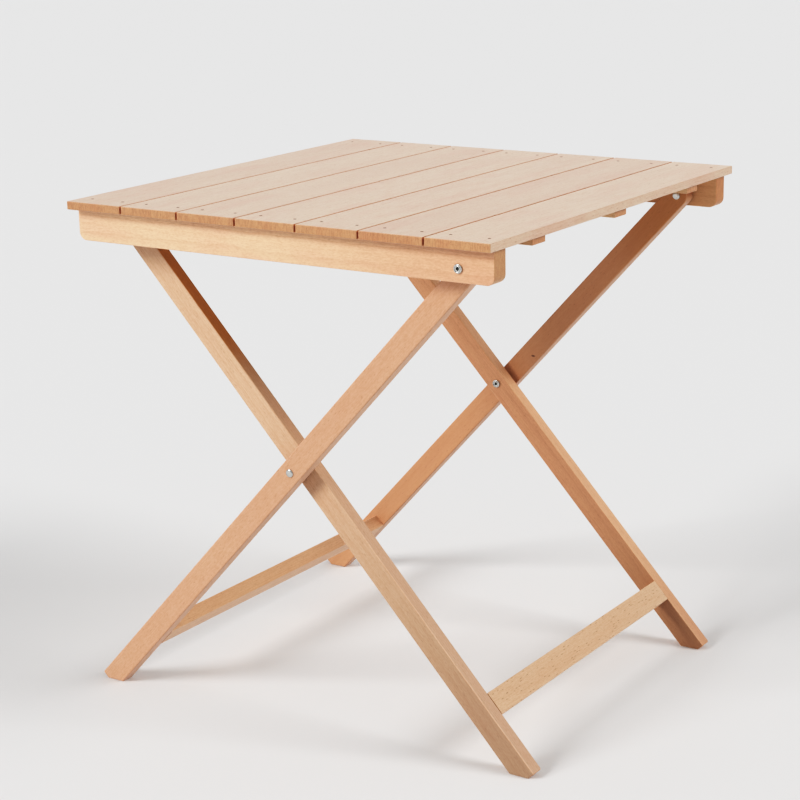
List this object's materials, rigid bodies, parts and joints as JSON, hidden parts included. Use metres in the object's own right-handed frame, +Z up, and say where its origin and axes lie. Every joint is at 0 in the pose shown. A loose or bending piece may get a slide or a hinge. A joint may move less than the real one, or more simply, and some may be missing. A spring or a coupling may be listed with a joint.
{
  "type": "folding table",
  "caption": "Square slatted wooden folding table whose crossed leg frames hinge under the top and fold flat.",
  "frame": {"origin": "on the floor, midway between the feet and under the pins where the legs cross", "axes": "+X across the slats towards the hinged end of the top, +Y along the slats towards the rear, +Z up"},
  "size_m": [0.7414, 0.712, 0.749],
  "materials": {
    "slats": "oiled beech, fine sanded",
    "aprons": "oiled beech",
    "battens": "oiled beech",
    "legs": "oiled beech",
    "stretchers": "oiled beech with ray flecks",
    "dowels": "turned beech",
    "pins": "bright nickel plate",
    "washers": "natural nylon",
    "nails": "bronzed steel"
  },
  "bodies": {
    "top": {"batten_screws": "nails", "front_apron": "aprons", "front_batten": "battens", "front_slat_nails": "nails", "hinge_bolt_front": "pins", "hinge_bolt_rear": "pins", "hinge_sleeve_nut_front": "pins", "hinge_sleeve_nut_rear": "pins", "middle_batten": "battens", "rear_apron": "aprons", "rear_batten": "battens", "rear_slat_nails": "nails", "slat_1": "slats", "slat_2": "slats", "slat_3": "slats", "slat_4": "slats", "slat_5": "slats", "slat_6": "slats", "slat_7": "slats"},
    "outer_frame": {"cross_bolt_front": "pins", "cross_bolt_rear": "pins", "cross_sleeve_nut_front": "pins", "cross_sleeve_nut_rear": "pins", "cross_spacer_front": "washers", "cross_spacer_rear": "washers", "hinge_washer_front": "washers", "hinge_washer_rear": "washers", "outer_leg_front": "legs", "outer_leg_rear": "legs", "outer_stretcher": "stretchers", "outer_stretcher_dowels": "dowels"},
    "inner_frame": {"crossbar": "dowels", "inner_leg_front": "legs", "inner_leg_rear": "legs", "inner_stretcher": "stretchers", "inner_stretcher_dowels": "dowels"}
  },
  "joints": [
    {"name": "fold", "type": "hinge", "parent": "top", "child": "outer_frame", "pos_m": [0.3005, 0, 0.7095], "axis": [0, 1, 0], "range_deg": [0, 46]},
    {"name": "cross", "type": "hinge", "parent": "outer_frame", "child": "inner_frame", "pos_m": [0, 0, 0.385], "axis": [0, 1, 0], "range_deg": [-90.16, 0]}
  ],
  "couplings": [
    {"joint": "cross", "follows": "fold", "ratio": -1.96}
  ]
}
